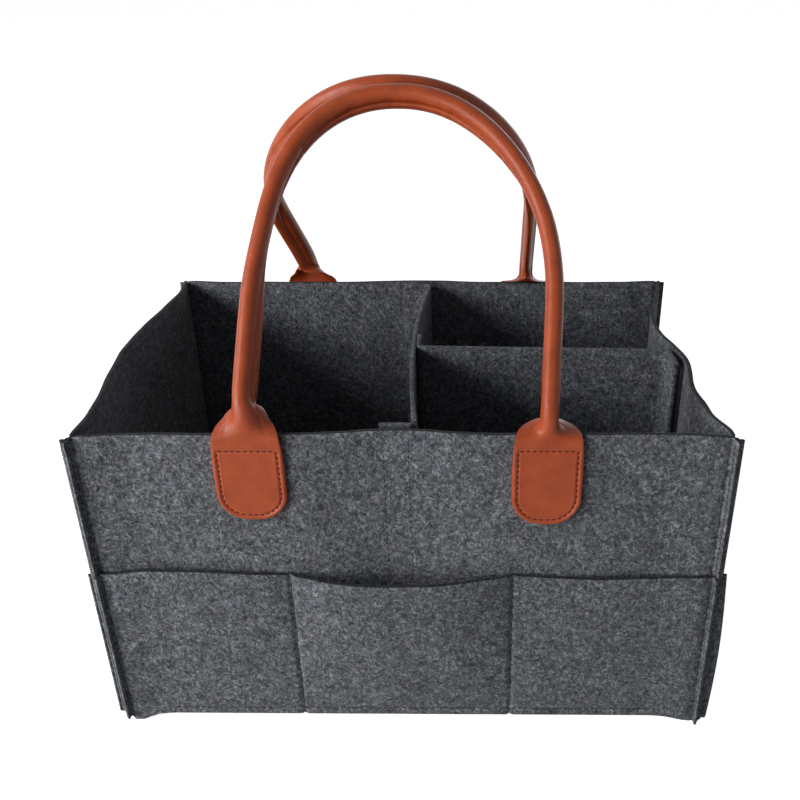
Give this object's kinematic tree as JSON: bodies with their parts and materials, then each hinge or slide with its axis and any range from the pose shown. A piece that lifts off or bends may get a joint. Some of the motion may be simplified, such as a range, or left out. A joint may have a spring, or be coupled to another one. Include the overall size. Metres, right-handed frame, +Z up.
{
  "type": "diaper caddy",
  "caption": "Open felt nursery caddy with outside pockets, a lift-out T-shaped divider and two folded-leather handles that swing on stitched tabs.",
  "frame": {"origin": "on the ground, under the middle of the box", "axes": "+Z up, +X to the right as seen from the front, +Y to the back"},
  "size_m": [0.3549, 0.2566, 0.3427],
  "materials": {
    "felt": "heather charcoal needled felt, matte",
    "leather": "tan imitation leather, fine grain, satin",
    "tape": "black hook-and-loop tape",
    "cord": "twisted cotton cord, undyed"
  },
  "bodies": {
    "caddy": {"front_panel": "felt", "back_panel": "felt", "left_end_panel": "felt", "right_end_panel": "felt", "base_panel": "felt", "front_pocket_strip": "felt", "back_pocket_strip": "felt", "left_end_pocket": "felt", "right_end_pocket": "felt", "front_left_tab": "leather", "front_right_tab": "leather", "back_left_tab": "leather", "back_right_tab": "leather", "front_loop_tape": "tape", "back_loop_tape": "tape", "right_loop_tape": "tape"},
    "divider_insert": {"main_divider": "felt", "cross_divider": "felt", "front_hook_tape": "tape", "back_hook_tape": "tape", "right_hook_tape": "tape"},
    "front_handle": {"front_handle_leather": "leather", "front_handle_core": "cord"},
    "back_handle": {"back_handle_leather": "leather", "back_handle_core": "cord"}
  },
  "joints": [
    {"name": "front_handle_swing", "type": "hinge", "parent": "caddy", "child": "front_handle", "pos_m": [0, -0.1188, 0.192], "axis": [1, 0, 0], "range_deg": [0, 195]},
    {"name": "back_handle_swing", "type": "hinge", "parent": "caddy", "child": "back_handle", "pos_m": [0, 0.1188, 0.192], "axis": [-1, 0, 0], "range_deg": [0, 195]},
    {"name": "divider_lift", "type": "slide", "parent": "caddy", "child": "divider_insert", "axis": [0, 0, 1], "range_m": [0, 0.12]}
  ]
}
